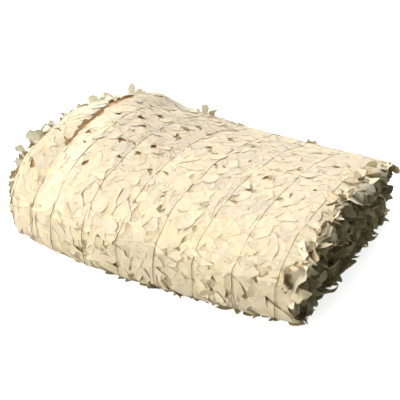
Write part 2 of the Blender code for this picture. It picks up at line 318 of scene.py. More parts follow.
# Outlines of the cut leaves, each row from root to tip: how far along the leaf, the half widths on
# its two sides and how far its middle line is off to one side, as shares of its length or width.
LEAF_COLUMNS = ("along", "left", "right", "middle")
LEAF_SHAPES = {
    "point": (
        (0.00, 0.18, 0.38, 0.56, 0.72, 0.87, 1.00),
        (0.55, 0.92, 1.00, 0.66, 0.46, 0.28, 0.08),
        (0.55, 0.86, 1.00, 0.78, 0.54, 0.32, 0.08),
        (0.00, 0.00, 0.04, 0.08, 0.10, 0.10, 0.08),
    ),
    "hook": (
        (0.00, 0.20, 0.42, 0.62, 0.80, 0.92, 1.00),
        (0.60, 0.95, 1.00, 0.72, 0.46, 0.28, 0.08),
        (0.50, 0.90, 0.80, 0.50, 0.34, 0.22, 0.08),
        (0.00, 0.00, 0.10, 0.32, 0.58, 0.80, 0.98),
    ),
    "tail": (
        (0.00, 0.16, 0.34, 0.52, 0.70, 0.86, 1.00),
        (0.60, 0.85, 0.78, 0.55, 0.58, 0.84, 1.12),
        (0.60, 0.95, 0.90, 0.60, 0.62, 0.80, 1.02),
        (0.00, 0.00, 0.04, 0.06, 0.06, 0.04, 0.00),
    ),
    "star": (
        (0.00, 0.16, 0.30, 0.46, 0.63, 0.82, 1.00),
        (0.95, 0.58, 0.60, 1.10, 0.64, 0.40, 0.08),
        (0.80, 0.50, 0.62, 1.16, 0.60, 0.36, 0.08),
        (0.00, 0.00, 0.02, 0.04, 0.06, 0.10, 0.14),
    ),
    "lobe": (
        (0.00, 0.18, 0.38, 0.58, 0.78, 0.92, 1.00),
        (0.60, 0.80, 0.86, 0.96, 0.90, 0.60, 0.22),
        (0.50, 0.70, 0.90, 1.00, 0.86, 0.56, 0.22),
        (0.00, 0.00, 0.02, 0.05, 0.06, 0.04, 0.02),
    ),
    "broad": (
        (0.00, 0.18, 0.38, 0.58, 0.76, 0.90, 1.00),
        (0.70, 0.86, 0.94, 1.10, 0.78, 0.40, 0.07),
        (0.60, 0.78, 1.00, 0.98, 0.80, 0.42, 0.07),
        (0.00, 0.00, 0.02, 0.04, 0.08, 0.12, 0.16),
    ),
    "fin": (
        (0.00, 0.18, 0.38, 0.56, 0.74, 0.89, 1.00),
        (0.95, 0.70, 0.52, 0.60, 0.80, 0.66, 0.24),
        (0.85, 0.62, 0.55, 0.62, 0.74, 0.60, 0.20),
        (0.00, 0.02, 0.06, 0.12, 0.20, 0.30, 0.42),
    ),
    "claw": (
        (0.00, 0.20, 0.40, 0.60, 0.77, 0.90, 1.00),
        (1.00, 0.84, 0.70, 0.54, 0.40, 0.26, 0.08),
        (0.95, 0.74, 0.54, 0.40, 0.28, 0.20, 0.08),
        (0.00, 0.02, 0.08, 0.20, 0.38, 0.58, 0.78),
    ),
}
SHAPES = {name: dict(zip(LEAF_COLUMNS, map(np.array, rows))) for name, rows in LEAF_SHAPES.items()}
SHAPE_ODDS = (0.22, 0.20, 0.16, 0.18, 0.06, 0.08, 0.05, 0.05)
TAIL_NOTCH = 0.26  # depth of the notch in a tail, to its length
ACROSS = np.array([-1.0, -0.5, 0.0, 0.5, 1.0])  # where a leaf's points are over its half width
LEAF_ROWS = 7
LEAF_SIDES = ACROSS.size
CRISP_ANGLE = math.radians(9)  # sharper bends than this are creases


def leaf_plan(length, half_width, shape=None):
    """A flat leaf: distance along and across of each of its points, rows by columns."""
    name = shape or RNG.choice(tuple(SHAPES), p=SHAPE_ODDS)
    rows = SHAPES[name]
    mirror = RNG.choice((-1.0, 1.0))
    side = np.where(ACROSS < 0, rows["left"][:, None], rows["right"][:, None])
    across = mirror * half_width * (rows["middle"][:, None] + ACROSS * side)
    along = np.repeat(rows["along"][:, None], LEAF_SIDES, axis=1)
    if name == "tail":
        along = along - TAIL_NOTCH * (1 - np.abs(ACROSS)) * along**3
    return length * along, across


def leaf_quads():
    """Corner numbers of one leaf: upper and lower side, and the rim between them."""
    upper = grid_quads(LEAF_ROWS, LEAF_SIDES)
    count = LEAF_ROWS * LEAF_SIDES
    lower = upper[:, ::-1] + count
    numbers = np.arange(count).reshape(LEAF_ROWS, LEAF_SIDES)
    loop = np.concatenate((numbers[0], numbers[1:, -1], numbers[-1, -2::-1], numbers[-2:0:-1, 0]))
    onward = np.roll(loop, -1)
    rim = np.column_stack((loop, loop + count, onward + count, onward))
    return np.concatenate((upper, lower, rim))


LEAF_QUADS = leaf_quads()


def add_attribute(mesh, name, values, kind="FLOAT", key="value"):
    attribute = mesh.attributes.new(name, kind, "POINT")
    attribute.data.foreach_set(key, values.astype(np.float32).ravel())


def build_leaves(name, leaves, material):
    """One mesh of leaves. Each leaf is its points, its plan, its tone and its depth in the pile."""
    points, plans, tones, depths = (np.array(values) for values in zip(*leaves))
    normal = np.cross(np.gradient(points, axis=1), np.gradient(points, axis=2))
    normal /= np.maximum(np.linalg.norm(normal, axis=-1, keepdims=True), 1e-12)
    both = np.stack((points + normal * LEAF_CLOTH / 2, points - normal * LEAF_CLOTH / 2), axis=1)
    both[..., 2] = np.maximum(both[..., 2], FLOOR_MARGIN / 2)
    shape = both.shape[:-1]
    first = np.arange(len(leaves)) * math.prod(shape[1:])
    quads = LEAF_QUADS[None] + first[:, None, None]
    mesh = mesh_from_arrays(name, both, quads)
    cloth = np.zeros(both.shape)
    cloth[..., :2] = np.moveaxis(plans, 1, -1)[:, None]
    cloth[..., 2] = tones[:, None, None, None]
    reach = np.linspace(0, 1, LEAF_ROWS)[:, None]
    rim = np.zeros((LEAF_ROWS, LEAF_SIDES))
    rim[-1] = rim[:, 0] = rim[:, -1] = 1.0
    add_attribute(mesh, "cloth", cloth, "FLOAT_VECTOR", "vector")
    # The over attribute drives the leaf material's painted shade: the lower it is, the darker.
    for look, values in (("reach", reach), ("over", depths[:, None]), ("rim", rim)):
        add_attribute(mesh, look, np.broadcast_to(values, shape))
    mesh.set_sharp_from_angle(angle=CRISP_ANGLE)
    return link(name, mesh, material)


# ---- leaves that lie on the net

CELL = 0.0025  # of the height field
MARGIN = 0.060  # of the field past the rims
GAP = 0.0005  # a leaf's clearance over what lies under it
FINE_ROWS = 31
FINE_SIDES = 17


def spread(coarse, fine):
    """Weights that resample `coarse` evenly spaced values at `fine` places."""
    place = np.linspace(0, coarse - 1, fine)
    lower = np.minimum(place.astype(int), coarse - 2)
    weights = np.zeros((fine, coarse))
    weights[np.arange(fine), lower] = 1 - (place - lower)
    weights[np.arange(fine), lower + 1] = place - lower
    return weights


ROW_WEIGHTS = spread(LEAF_ROWS, FINE_ROWS)
SIDE_WEIGHTS = spread(LEAF_SIDES, FINE_SIDES).T
CLEARED = 0.7  # share of a stiff leaf's points that clear what lies under them
YIELD = 0.25  # share of the unevenness under it that a leaf follows


def plane_fit():
    """Takes the heights of a leaf's points to those of the plane that fits them best."""
    rows, sides = np.mgrid[0:1:LEAF_ROWS * 1j, -1:1:LEAF_SIDES * 1j]
    basis = np.column_stack((np.ones(rows.size), rows.ravel(), sides.ravel()))
    return basis @ np.linalg.pinv(basis)


PLANE_FIT = plane_fit()
ROW_STEP = (FINE_ROWS - 1) // (LEAF_ROWS - 1)
SIDE_STEP = (FINE_SIDES - 1) // (LEAF_SIDES - 1)


def finer(values):
    return ROW_WEIGHTS @ values @ SIDE_WEIGHTS


RIM_EASE = 0.010  # how far inside the rims the mean height is taken
GROUND_REACH = 6  # cells to either side that the mean height is taken over
GROUND_PASSES = 3


def averaged(values, axis=0, reach=GROUND_REACH):
    """Running mean along an axis, over so many values to either side."""
    kernel = np.ones(2 * reach + 1) / (2 * reach + 1)
    pad = [(reach, reach) if number == axis else (0, 0) for number in range(values.ndim)]
    return np.apply_along_axis(np.convolve, axis, np.pad(values, pad, mode="edge"), kernel, mode="valid")


class Pile:
    """Height of the leaves laid so far over the net's outer side, from its ply."""

    def __init__(self, start, end):
        self.start = start - MARGIN
        self.left = -HALF_LENGTH - MARGIN
        rows = int((end + MARGIN - self.start) / CELL) + 2
        columns = int(2 * (HALF_LENGTH + MARGIN) / CELL) + 2
        self.height = np.zeros((rows, columns))

    def cells(self, s, x):
        row = np.clip(np.rint((s - self.start) / CELL).astype(int), 0, self.height.shape[0] - 1)
        column = np.clip(np.rint((x - self.left) / CELL).astype(int), 0, self.height.shape[1] - 1)
        return row, column

    def at(self, s, x):
        return self.height[self.cells(s, x)]

    def rest(self, s, x):
        """Heights at which a leaf's points clear what lies under them."""
        fine = self.at(finer(s), finer(x))
        fine = np.pad(fine, ((ROW_STEP, ROW_STEP), (SIDE_STEP, SIDE_STEP)), mode="edge")
        windows = np.lib.stride_tricks.sliding_window_view(fine, (2 * ROW_STEP + 1, 2 * SIDE_STEP + 1))
        held = windows[::ROW_STEP, ::SIDE_STEP].max(axis=(2, 3))
        plane = (PLANE_FIT @ held.ravel()).reshape(held.shape)
        over = np.quantile(held - plane, CLEARED)
        return np.maximum(plane + over + YIELD * (held - plane), 0.0)

    def add(self, s, x, height):
        row, column = self.cells(finer(s), finer(x))
        np.maximum.at(self.height, (row, column), finer(height))

    def settle(self):
        """Finds the pile's mean height round each place: the leaves sink until it is level."""
        columns = np.arange(self.height.shape[1])
        inside = np.abs(self.left + CELL * columns) < HALF_LENGTH - RIM_EASE
        share = np.broadcast_to(inside.astype(float), self.height.shape)
        ground = self.height * share
        for _ in range(GROUND_PASSES):
            ground, share = (averaged(averaged(values), 1) for values in (ground, share))
        ground = ground / np.maximum(share, 1e-3)
        first = np.argmax(inside)
        self.ground = ground[:, np.clip(columns, first, columns[-1] - first)]

    def over_ground(self, s, x, height):
        """How far heights are over the pile's mean height there."""
        return height - self.ground[self.cells(s, x)]


# How the leaves lie along the section, at shares of its stretches: how high the pile may get, how
# high its mean lies, what share of its unevenness is kept, how far apart the leaves start, how much
# their tips and edges lift, how large they are and how far their tips may curl.
LIE_COLUMNS = ("s", "cap", "seat", "relief", "spacing", "lift", "size", "curl")
LIE_ROWS = (
    (1, 0.00, 0.0028, 0.0008, 0.10, 0.0270, 0.2, 1.00, 0.0000),
    (1, 0.85, 0.0030, 0.0008, 0.10, 0.0240, 0.3, 1.00, 0.0000),
    (MAIN_FOLD, 0.12, 0.0240, 0.0046, 0.13, 0.0158, 2.0, 1.10, 0.0090),
    (MAIN_FOLD, 0.45, 0.0240, 0.0042, 0.085, 0.0152, 1.5, 1.05, 0.0050),
    (MAIN_FOLD, 0.85, 0.0200, 0.0034, 0.055, 0.0152, 0.8, 1.00, 0.0018),
    (TOP, 0.15, 0.0180, 0.0028, 0.050, 0.0150, 0.7, 0.95, 0.0013),
    (TOP, 0.85, 0.0180, 0.0022, 0.055, 0.0150, 0.8, 0.90, 0.0016),
    (UPPER_BACK_FOLD, 0.2, 0.0180, 0.0014, 0.05, 0.0160, 1.0, 0.95, 0.0015),
    (UPPER_BACK_FOLD, 0.6, 0.0200, 0.0030, 0.16, 0.0170, 1.6, 1.00, 0.0070),
    (UPPER_BACK_FOLD, 1.0, 0.0120, 0.0030, 0.18, 0.0190, 1.4, 1.00, 0.0040),
)
LIE = by_column(LIE_COLUMNS, [(place_on(*row[:2]), *row[2:]) for row in LIE_ROWS])
OUTER_START = 0.0
OUTER_END = SPANS[UPPER_BACK_FOLD][1]
CORD_PRESS = 0.25  # share of the pile that a cord presses down
CORD_PRESS_WIDTH = 0.005
SINK = 0.0005  # how softly what lies deep is pressed against the net
LEAST_HEIGHT = 0.0004  # of a leaf's middle over the net


def lie_at(s, name):
    return np.interp(s, LIE["s"], LIE[name])


def pressed(s, x, over):
    """The pile's real height over the net, from that over its mean height."""
    press = np.zeros_like(x)
    for cord in CORD_X:
        press = np.maximum(press, np.exp(-(((x - cord) / CORD_PRESS_WIDTH) ** 2)))
    height = SINK * np.logaddexp(0.0, (lie_at(s, "relief") * over + lie_at(s, "seat")) / SINK)
    cap = lie_at(s, "cap")
    return cap * (1 - np.exp(-height / cap)) * (1 - CORD_PRESS * press)


def settled_leaf(pile, s, x, height, plan, tone, relief):
    """A laid leaf's points once the pile has settled, its plan, its tone and its depth."""
    over = pile.over_ground(s, x, height)
    height = np.maximum(pressed(s, x, over) + relief, LEAST_HEIGHT)
    points = net_point(s, x, PLY_OFFSET + CLOTH + height, LEAF_OUTLINE)
    return points, plan, tone, over


def jitter(spacing):
    return spacing * RNG.uniform(-0.4, 0.4)


def scattered():
    """Places over the outer side, evenly uneven, in a random order."""
    places = []
    s = OUTER_START
    while s < OUTER_END:
        spacing = lie_at(s, "spacing")
        count = int(2 * HALF_LENGTH / spacing)
        x = -HALF_LENGTH + 2 * HALF_LENGTH * (np.arange(count) + RNG.uniform(0.1, 0.9, count)) / count
        places += [(s + jitter(spacing), value) for value in x]
        s += spacing
    places = np.array(places)
    return places[RNG.permutation(len(places))]


TOP_OPENING = 0.0056  # half the length of an opening between leaves
OPENING_STRETCH = 1.7  # its length along X to that along the section
CREASE_GAP = 0.0042  # half the width of the crack at the crease, where it is widest
CREASE_WANDER = 0.0035  # how far the crack's middle strays to either side
CRACK_SHARES = (0.08, 0.14, 0.25, 0.38, 0.62, 0.73, 0.84)  # of the top: how much it gapes there
CRACK_GAPES = (0.0, 0.12, 0.35, 0.9, 1.0, 0.7, 0.0)


def opening_places():
    """Where the openings are in s and x."""
    s = np.linspace(*SPANS[TOP], 400)
    places = []
    for x, y in OPENINGS:
        points = net_point(s, np.full_like(s, x), np.full_like(s, PLY_OFFSET))
        places.append((s[np.argmin(np.abs(points[:, 1] - y))], x))
    return np.array(places)


OPENING_PLACES = opening_places()


def crease_gap(s):
    """The crack along the crease: its middle and half its width, widest on the back of the top."""
    taper = np.interp(share_on(TOP, s), CRACK_SHARES, CRACK_GAPES)
    middle = CREASE_X + CREASE_WANDER * (0.7 * np.sin(s * 61) + 0.5 * np.sin(s * 143 + 1))
    ragged = 1 + 0.3 * np.sin(s * 97 + 2) + 0.3 * np.sin(s * 331)
    return middle, CREASE_GAP * taper * ragged


SLIT_LENGTHS = (0.0030, 0.0075)  # half of them
SLIT_WIDTH = 0.0006
SLIT_FAR = 0.075  # no leaf reaches a slit further off than this
SLIT_FROM_CREASE = 0.030
SLIT_INSETS = (0.02, 0.03)  # from the left and the right rim
TOP_SLITS = 52
FRONT_SLITS = 20
FRONT_SLITS_FROM = 0.35  # of the main fold


def slit_places():
    """Small slits between leaves: s, x, the way they run and half their length."""
    on_top = RNG.uniform(*SPANS[TOP], TOP_SLITS)
    on_front = RNG.uniform(place_on(MAIN_FOLD, FRONT_SLITS_FROM), place_on(MAIN_FOLD, 1.0), FRONT_SLITS)
    s = np.concatenate((on_top, on_front))
    x = RNG.uniform(-HALF_LENGTH + SLIT_INSETS[0], HALF_LENGTH - SLIT_INSETS[1], s.size)
    slits = np.column_stack((s, x, RNG.uniform(0, math.pi, s.size), RNG.uniform(*SLIT_LENGTHS, s.size)))
    return slits[np.abs(x - CREASE_X) > SLIT_FROM_CREASE]


SLITS = slit_places()


def crosses_slit(s, x):
    near = np.hypot(SLITS[:, 0] - s.mean(), SLITS[:, 1] - x.mean()) < SLIT_FAR
    for place_s, place_x, angle, half in SLITS[near]:
        along = (s - place_s) * math.cos(angle) + (x - place_x) * math.sin(angle)
        across = (x - place_x) * math.cos(angle) - (s - place_s) * math.sin(angle)
        if np.any((along / half) ** 2 + (across / SLIT_WIDTH) ** 2 < 1):
            return True
    return False


def blocks(s, x):
    """Whether a leaf would cover an opening, a slit or the crack."""
    s, x = finer(s), finer(x)
    middle, gap = crease_gap(s)
    if crosses_slit(s, x) or np.any(np.abs(x - middle) < gap):
        return True
    for place_s, place_x in OPENING_PLACES:
        if np.any(np.hypot((s - place_s) * OPENING_STRETCH, x - place_x) < TOP_OPENING):
            return True
    return False


LIFTED = 0.2  # share of the leaves whose tips lift more than the others
LIFTED_MORE = 2.2
LEFT_CALM = (-0.36, -0.12), (0.55, 1.0)  # along X: the leaves lift and curl less at the left
CREASE_SLOPE = 0.10  # most slope of an upper leaf on the far side of a crease across it


def free_relief(curl, along, across, length):
    """How an upper leaf's tip curls up, and how it slopes past a crease at a random angle."""
    share = along / length
    curled = curl * RNG.uniform(0.0, 1.0) ** 2 * (share**2 + 0.5 * ACROSS * RNG.uniform(-1, 1) * share)
    slope = RNG.uniform(-0.5, 1.0) * CREASE_SLOPE
    angle = RNG.uniform(0, math.pi)
    middle = length * RNG.uniform(0.25, 0.75)
    past = (along - middle) * math.cos(angle) + across * math.sin(angle)
    return curled + slope * np.maximum(past, 0.0)


REVERSE_TONE = 1.5  # a tone past 1 is the cloth's paler, greyer reverse
REVERSED_SHARE = 0.6  # of the leaves left of the crack, which lie with their reverse side out
REVERSED_LEFT_OF = -0.300
REVERSED_FROM = place_on(TOP, 0.45)


def laid(pile, s, x, along, across, length, upper=True):
    """One leaf laid on the pile, with a little lift at its tip and edges."""
    calm = np.interp(x[0, 0], *LEFT_CALM)
    lift = lie_at(s[0, 0], "lift") * calm
    share = along / length
    more = LIFTED_MORE if RNG.random() < LIFTED else 1.0
    tip = lift * more * RNG.uniform(0.0006, 0.0024) * share**1.5
    edge = lift * RNG.uniform(-0.0002, 0.0014) * (ACROSS**2) * share
    twist = lift * RNG.uniform(-0.0012, 0.0012) * ACROSS * share
    height = pile.rest(s, x) + GAP + np.maximum(tip + edge + twist, 0.0)
    pile.add(s, x, height)
    relief = np.zeros_like(s)
    if upper:
        relief = free_relief(lie_at(s[0, 0], "curl") * calm, along, across, length)
    tone = RNG.random()
    if x.mean() < REVERSED_LEFT_OF and s.mean() > REVERSED_FROM and tone < REVERSED_SHARE:
        tone = REVERSE_TONE
    return s, x, height, (along, across), tone, relief


def turned_plan(start, x0, along, across, heading):
    s = start + along * math.cos(heading) - across * math.sin(heading)
    x = x0 + along * math.sin(heading) + across * math.cos(heading)
    return s, x


UPPER_LEAVES = 0.6  # leaves laid after this share of them may curl and crease freely
SCALE_LENGTHS = (0.038, 0.064)
SCALE_HALF_WIDTHS = (0.012, 0.021)
SCALE_TRIES = 12
SCALE_SHRINK = 0.035  # from one try to the next
SCALE_REACH = 0.014  # the most past a rim
SCALE_MIDDLE = 0.4  # how far along it a leaf is at the place it is laid at


def lay_leaves(pile):
    places = scattered()
    for number, (start, x0) in enumerate(places):
        upper = number > UPPER_LEAVES * len(places) and start > SPANS[MAIN_FOLD][0]
        for attempt in range(SCALE_TRIES):
            size = lie_at(start, "size") * (1 - SCALE_SHRINK * attempt)
            length = size * RNG.uniform(*SCALE_LENGTHS)
            half_width = size * RNG.uniform(*SCALE_HALF_WIDTHS)
            heading = RNG.uniform(0, 2 * math.pi)
            along, across = leaf_plan(length, half_width)
            s, x = turned_plan(start, x0, along - length * SCALE_MIDDLE, across, heading)
            if np.abs(x).max() < HALF_LENGTH + SCALE_REACH and not blocks(s, x):
                yield laid(pile, s, x, along, across, length, upper)
                break


RIM_LEAF_SPACING = 0.022
RIM_LEAF_SPREAD = {1: 1.0, -1: 2.0}  # at the right and left rim, to that spacing
RIM_LEAF_REACH = {1: (0.010, 0.028), -1: (0.006, 0.018)}  # past those rims
RIM_LEAF_LENGTHS = (0.050, 0.068)
RIM_LEAF_WIDTHS = (0.24, 0.34)
LOW_RIM_END = place_on(MAIN_FOLD, 0.35)
LOW_RIM_SIZE = 0.70  # of the rim leaves low on the front
CORNER_START = place_on(TOP, 0.8)
CORNER_SIZE = 0.5  # of the leaves' reach past the rims at the back corners


def lay_rim_leaves(pile):
    """Long leaves that lie over the rims and droop past them."""
    for side in (1, -1):
        s = SPANS[MAIN_FOLD][0]
        while s < OUTER_END:
            length = RNG.uniform(*RIM_LEAF_LENGTHS) * (LOW_RIM_SIZE if s < LOW_RIM_END else 1.0)
            along, across = leaf_plan(length, RNG.uniform(*RIM_LEAF_WIDTHS) * length)
            past = RNG.uniform(*RIM_LEAF_REACH[side]) * (CORNER_SIZE if s > CORNER_START else 1.0)
            x0 = side * (HALF_LENGTH + past - length)
            heading = side * math.pi / 2 + RNG.normal(0, 0.4)
            place = turned_plan(s, x0, along, across, heading)
            if not blocks(*place):
                yield laid(pile, *place, along, across, length)
            s += RIM_LEAF_SPACING * RNG.uniform(0.5, 1.5) * RIM_LEAF_SPREAD[side]


RING_LEAVES = 9
RING_LENGTHS = (0.026, 0.040)
RING_HALF_WIDTHS = (0.010, 0.015)
RING_TRIES = 8


def ring_openings(pile):
    """Leaves whose tips reach towards each opening from all round."""
    for place_s, place_x in OPENING_PLACES:
        turn_by = RNG.uniform(0, 2 * math.pi)
        for i in range(RING_LEAVES):
            for _ in range(RING_TRIES):
                angle = turn_by + 2 * math.pi * (i + RNG.uniform(-0.3, 0.3)) / RING_LEAVES
                length = RNG.uniform(*RING_LENGTHS)
                along, across = leaf_plan(length, RNG.uniform(*RING_HALF_WIDTHS))
                far = length + TOP_OPENING * RNG.uniform(0.6, 1.8)
                start, x0 = place_s - far * math.cos(angle), place_x - far * math.sin(angle)
                place = turned_plan(start, x0, along, across, angle)
                if not blocks(*place):
                    yield laid(pile, *place, along, across, length)
                    break


def lay_all(pile):
    leaves = [*lay_leaves(pile), *ring_openings(pile), *lay_rim_leaves(pile)]
    pile.settle()
    return [settled_leaf(pile, *leaf) for leaf in leaves]


# ---- leaves that stand free


def unit(vector):
    vector = np.asarray(vector, dtype=float)
    return vector / np.linalg.norm(vector)


def even_bend(along, length, bend):
    """How far out and up a leaf's points come, and their slope, if it bends evenly."""
    angle = bend * along / length
    safe = np.where(np.abs(angle) < 1e-6, 1e-6, angle)
    return along * np.sin(safe) / safe, along * (1 - np.cos(safe)) / safe, angle


def kinked(along, length, bend, kink):
    """The same if it bends at one crease across it, at a share of its length."""
    beyond = np.maximum(along - kink * length, 0.0)
    angle = np.where(beyond > 0, bend, 0.0)
    return along - beyond + beyond * math.cos(bend), beyond * math.sin(bend), angle


# over gives a leaf painted shade, as much as a leaf that lies so far under the pile's mean height.
def free_leaf(
    root, heading, normal, length, half_width, bend, cup, twist, shape=None, over=0.0, fold=0.0, kink=0.0
):
    """A leaf that leaves its root along heading and bends by an angle towards its normal."""
    along, across = leaf_plan(length, half_width, shape)
    heading = unit(heading)
    side = unit(np.cross(normal, heading))
    normal = np.cross(heading, side)
    out, up, angle = kinked(along, length, bend, kink) if kink else even_bend(along, length, bend)
    turned = twist * along / length
    rise = across * np.sin(turned) + cup * across**2 / half_width + fold * np.abs(across)
    points = (
        root
        + (out + -rise * np.sin(angle))[..., None] * heading
        + (up + rise * np.cos(angle))[..., None] * normal
        + (across * np.cos(turned))[..., None] * side
    )
    points[..., 2] = np.maximum(points[..., 2], FLOOR_MARGIN)
    return points, (along, across), RNG.random(), np.full_like(along, over)


def drawn_leaf(root, heading, normal, lengths, widths, bends, cup, twist):
    """A free leaf whose length, width for its length, bend, cup and twist are drawn."""
    length = RNG.uniform(*lengths)
    half_width = RNG.uniform(*widths) * length
    bend = -RNG.uniform(*bends)
    cup, twist = RNG.uniform(-cup, cup), RNG.uniform(-twist, twist)
    return free_leaf(root, heading, normal, length, half_width, bend, cup, twist)


FRAME_STEP = 0.002


def frame_at(s, x, height):
    """A point of the net, its direction along the section and its normal."""
    here, onward = net_point(np.array([s, s + FRAME_STEP]), np.full(2, x), np.full(2, height))
    higher = height + math.copysign(FRAME_STEP, height)
    further = net_point(np.array([s]), np.array([x]), np.array([higher]))[0]
    return here, unit(onward - here), unit(further - here)


# Leaves along the rims of the levels at either end: how far apart, how long, how wide for their
# length, how far they bend (down for a level's upper side), how far from the rim they start and
# how they lean, rise, twist and roll.
RIM_COLUMNS = ("spacing", "lengths", "widths", "bends", "inset", "lean", "rises", "twist", "rolls")
RIM_ROWS = {
    "outer": (0.034, (0.026, 0.038), (0.38, 0.48), (0.9, 1.5), 0.026, 0.50, (-0.4, -0.1), 0.4, (0.0, 0.5)),
    "crest": (0.028, (0.032, 0.046), (0.42, 0.54), (0.3, 1.0), 0.036, 0.30, (-0.7, -0.2), 0.3, (0.0, 0.2)),
    "tips": (0.026, (0.030, 0.042), (0.40, 0.50), (0.1, 0.8), 0.020, 0.35, (0.3, 1.0), 0.3, (0.0, 0.4)),
    "inner": (0.020, (0.034, 0.050), (0.36, 0.46), (0.3, 1.4), 0.032, 0.60, (-0.3, 0.3), 0.3, (-0.3, 1.1)),
    "lobe": (0.028, (0.050, 0.066), (0.28, 0.36), (0.9, 1.6), 0.034, 0.35, (-0.1, 0.4), 0.2, (0.1, 1.0)),
    "hanging": (0.020, (0.036, 0.054), (0.36, 0.46), (1.2, 2.1), 0.022, 0.70, (-0.3, 0.1), 0.3, (-0.3, 1.0)),
}
SHAPES_OF = {
    "outer": ("star", "hook", "tail", "broad"),
    "crest": ("lobe", "fin", "tail", "broad"),
    "tips": ("lobe", "fin", "tail", "broad"),
    "inner": ("star", "broad", "hook", "tail", "point", "star"),
    "lobe": ("fin", "claw", "hook", "tail", "star"),
    "hanging": ("star", "broad", "hook", "tail", "point", "star"),
    "fringe": ("star", "broad", "hook", "point"),
}
LEFT_SIZE = 0.78  # of the leaves along the left rims, to those along the right ones
FRONT_LEFT_SIZE = 0.62
FAR_SIZE = 0.68  # of those along the right rims at the back
FAR_START = 0.18
LAST_LOBE = 0.86  # along the top: no lobe is further back
FIRST_LOBE = 0.25  # along the other outer stretches: no lobe is nearer their start
LEFT_DENSITY = 1.3  # of the leaves along the left rims, to that along the right ones
LOW_ROOT = 0.030  # leaves that start lower than this are shorter and lie flat on the floor
LOW_SIZE = 0.85
CURLED_UP_SHARE = 0.25  # of the hanging leaves
CURLED_UP = 0.35  # how far they curl, to how far the others hang
CUP = 0.12  # the most cup of a leaf along a rim
OUTER_STRETCHES = (TOP, MAIN_FOLD, UPPER_BACK_FOLD, 1)
# Leaves that stand up along the left rim, from one share of a stretch to another.
LEFT_CRESTS = ((MAIN_FOLD, "crest", 0.85, 1.0), (TOP, "crest", 0.0, 0.62), (TOP, "tips", 0.66, 1.0))
SOMETIMES_SHADED = ("inner", "hanging")
SHADED = (-0.044, -0.014)  # as leaves that lie so far under the pile's mean height
SHADED_SHARE = 0.45
FOLDS = (-0.7, 0.5)  # slope to either side of a crease along a leaf
FOLDED_SHARE = 0.6
KINKS = (0.3, 0.6)  # where along a leaf a crease across it is
KINKED_SHARE = 0.5
MOST_KINKED = 1.2  # the most bend at such a crease


def rim_leaves(side, stretch, ply, kind, first=0.0, last=1.0):
    """Leaves along one rim of a stretch, on its outer (+1) or inner (-1) ply."""
    row = dict(zip(RIM_COLUMNS, RIM_ROWS[kind]))
    start, end = place_on(stretch, first), place_on(stretch, last)
    count = max(1, round((end - start) / row["spacing"] * (LEFT_DENSITY if side < 0 else 1.0)))
    for i in range(count):
        s = start + (end - start) * (i + RNG.uniform(0.0, 1.0)) / count
        x = side * (HALF_LENGTH - RNG.uniform(0.001, row["inset"]))
        root, along, normal = frame_at(s, x, ply * PLY_OFFSET)
        lean = RNG.normal(0, row["lean"])
        heading = np.array([side * math.cos(lean), 0, 0]) + along * math.sin(lean)
        heading = unit(heading + normal * RNG.uniform(*row["rises"]))
        low = root[2] < LOW_ROOT
        roll = RNG.uniform(*row["rolls"])
        normal = unit(normal + np.array([0.0, 0.0 if low else -roll, 0.0]))
        length = RNG.uniform(*row["lengths"]) * (LOW_SIZE if low else 1.0)
        if side < 0 and kind not in ("crest", "tips"):
            length *= FRONT_LEFT_SIZE if stretch == MAIN_FOLD else LEFT_SIZE
        if side > 0 and root[1] > FAR_START:
            length *= FAR_SIZE
        half_width = RNG.uniform(*row["widths"]) * length
        bend = -RNG.uniform(*row["bends"])
        if kind == "hanging" and RNG.random() < CURLED_UP_SHARE:
            bend *= -CURLED_UP
        cup = RNG.uniform(-CUP, CUP)
        twist = RNG.uniform(-row["twist"], row["twist"])
        shape = RNG.choice(SHAPES_OF[kind])
        over = RNG.uniform(*SHADED) if kind in SOMETIMES_SHADED and RNG.random() < SHADED_SHARE else 0.0
        fold = RNG.uniform(*FOLDS) if RNG.random() < FOLDED_SHARE else 0.0
        kink = RNG.uniform(*KINKS) if abs(bend) < MOST_KINKED and RNG.random() < KINKED_SHARE else 0.0
        looks = (shape, over, fold, kink)
        yield free_leaf(root, heading, normal, length, half_width, bend, cup, twist, *looks)


def end_leaves(side):
    for stretch in SPANS:
        outer = stretch in OUTER_STRETCHES
        if stretch != TOP:
            yield from rim_leaves(side, stretch, 1, "outer" if outer else "inner")
        yield from rim_leaves(side, stretch, -1, "inner")
        if not outer:
            yield from rim_leaves(side, stretch, 1, "hanging")
        elif side > 0 and stretch != UPPER_BACK_FOLD:
            first, last = (0.0, LAST_LOBE) if stretch == TOP else (FIRST_LOBE, 1.0)
            yield from rim_leaves(side, stretch, 1, "lobe", first, last)
    for stretch, kind, first, last in LEFT_CRESTS if side < 0 else ():
        yield from rim_leaves(side, stretch, 1, kind, first, last)


ROW_INSET = 0.01  # of a row's first and last places, from the rims
# Leaves that stand out low on the front and from the back: where along a stretch they start and
# end, how far they rise and how far they turn from the way the section runs.
FOOT_ZONES = (
    (MAIN_FOLD, 0.00, 0.16, (0.1, 0.8), math.pi),
    (UPPER_BACK_FOLD, 0.45, 0.9, (-0.1, 0.2), 1.2),
)
FOOT_SPACING = 0.026
FOOT_RAISE = 0.004
FOOT_RANGES = ((0.028, 0.046), (0.3, 0.45), (0.2, 1.2), 0.3, 0.6)  # for drawn_leaf


def row_places(spacing):
    """Where along X the leaves of a row start, unevenly."""
    for x in np.arange(-HALF_LENGTH + ROW_INSET, HALF_LENGTH - ROW_INSET, spacing):
        yield x + jitter(spacing)


def turned(along, normal, angle, rises):
    """The way a leaf heads, from the way the section runs towards +X."""
    return unit(along * math.cos(angle) + np.array([math.sin(angle), 0, 0]) + normal * RNG.uniform(*rises))


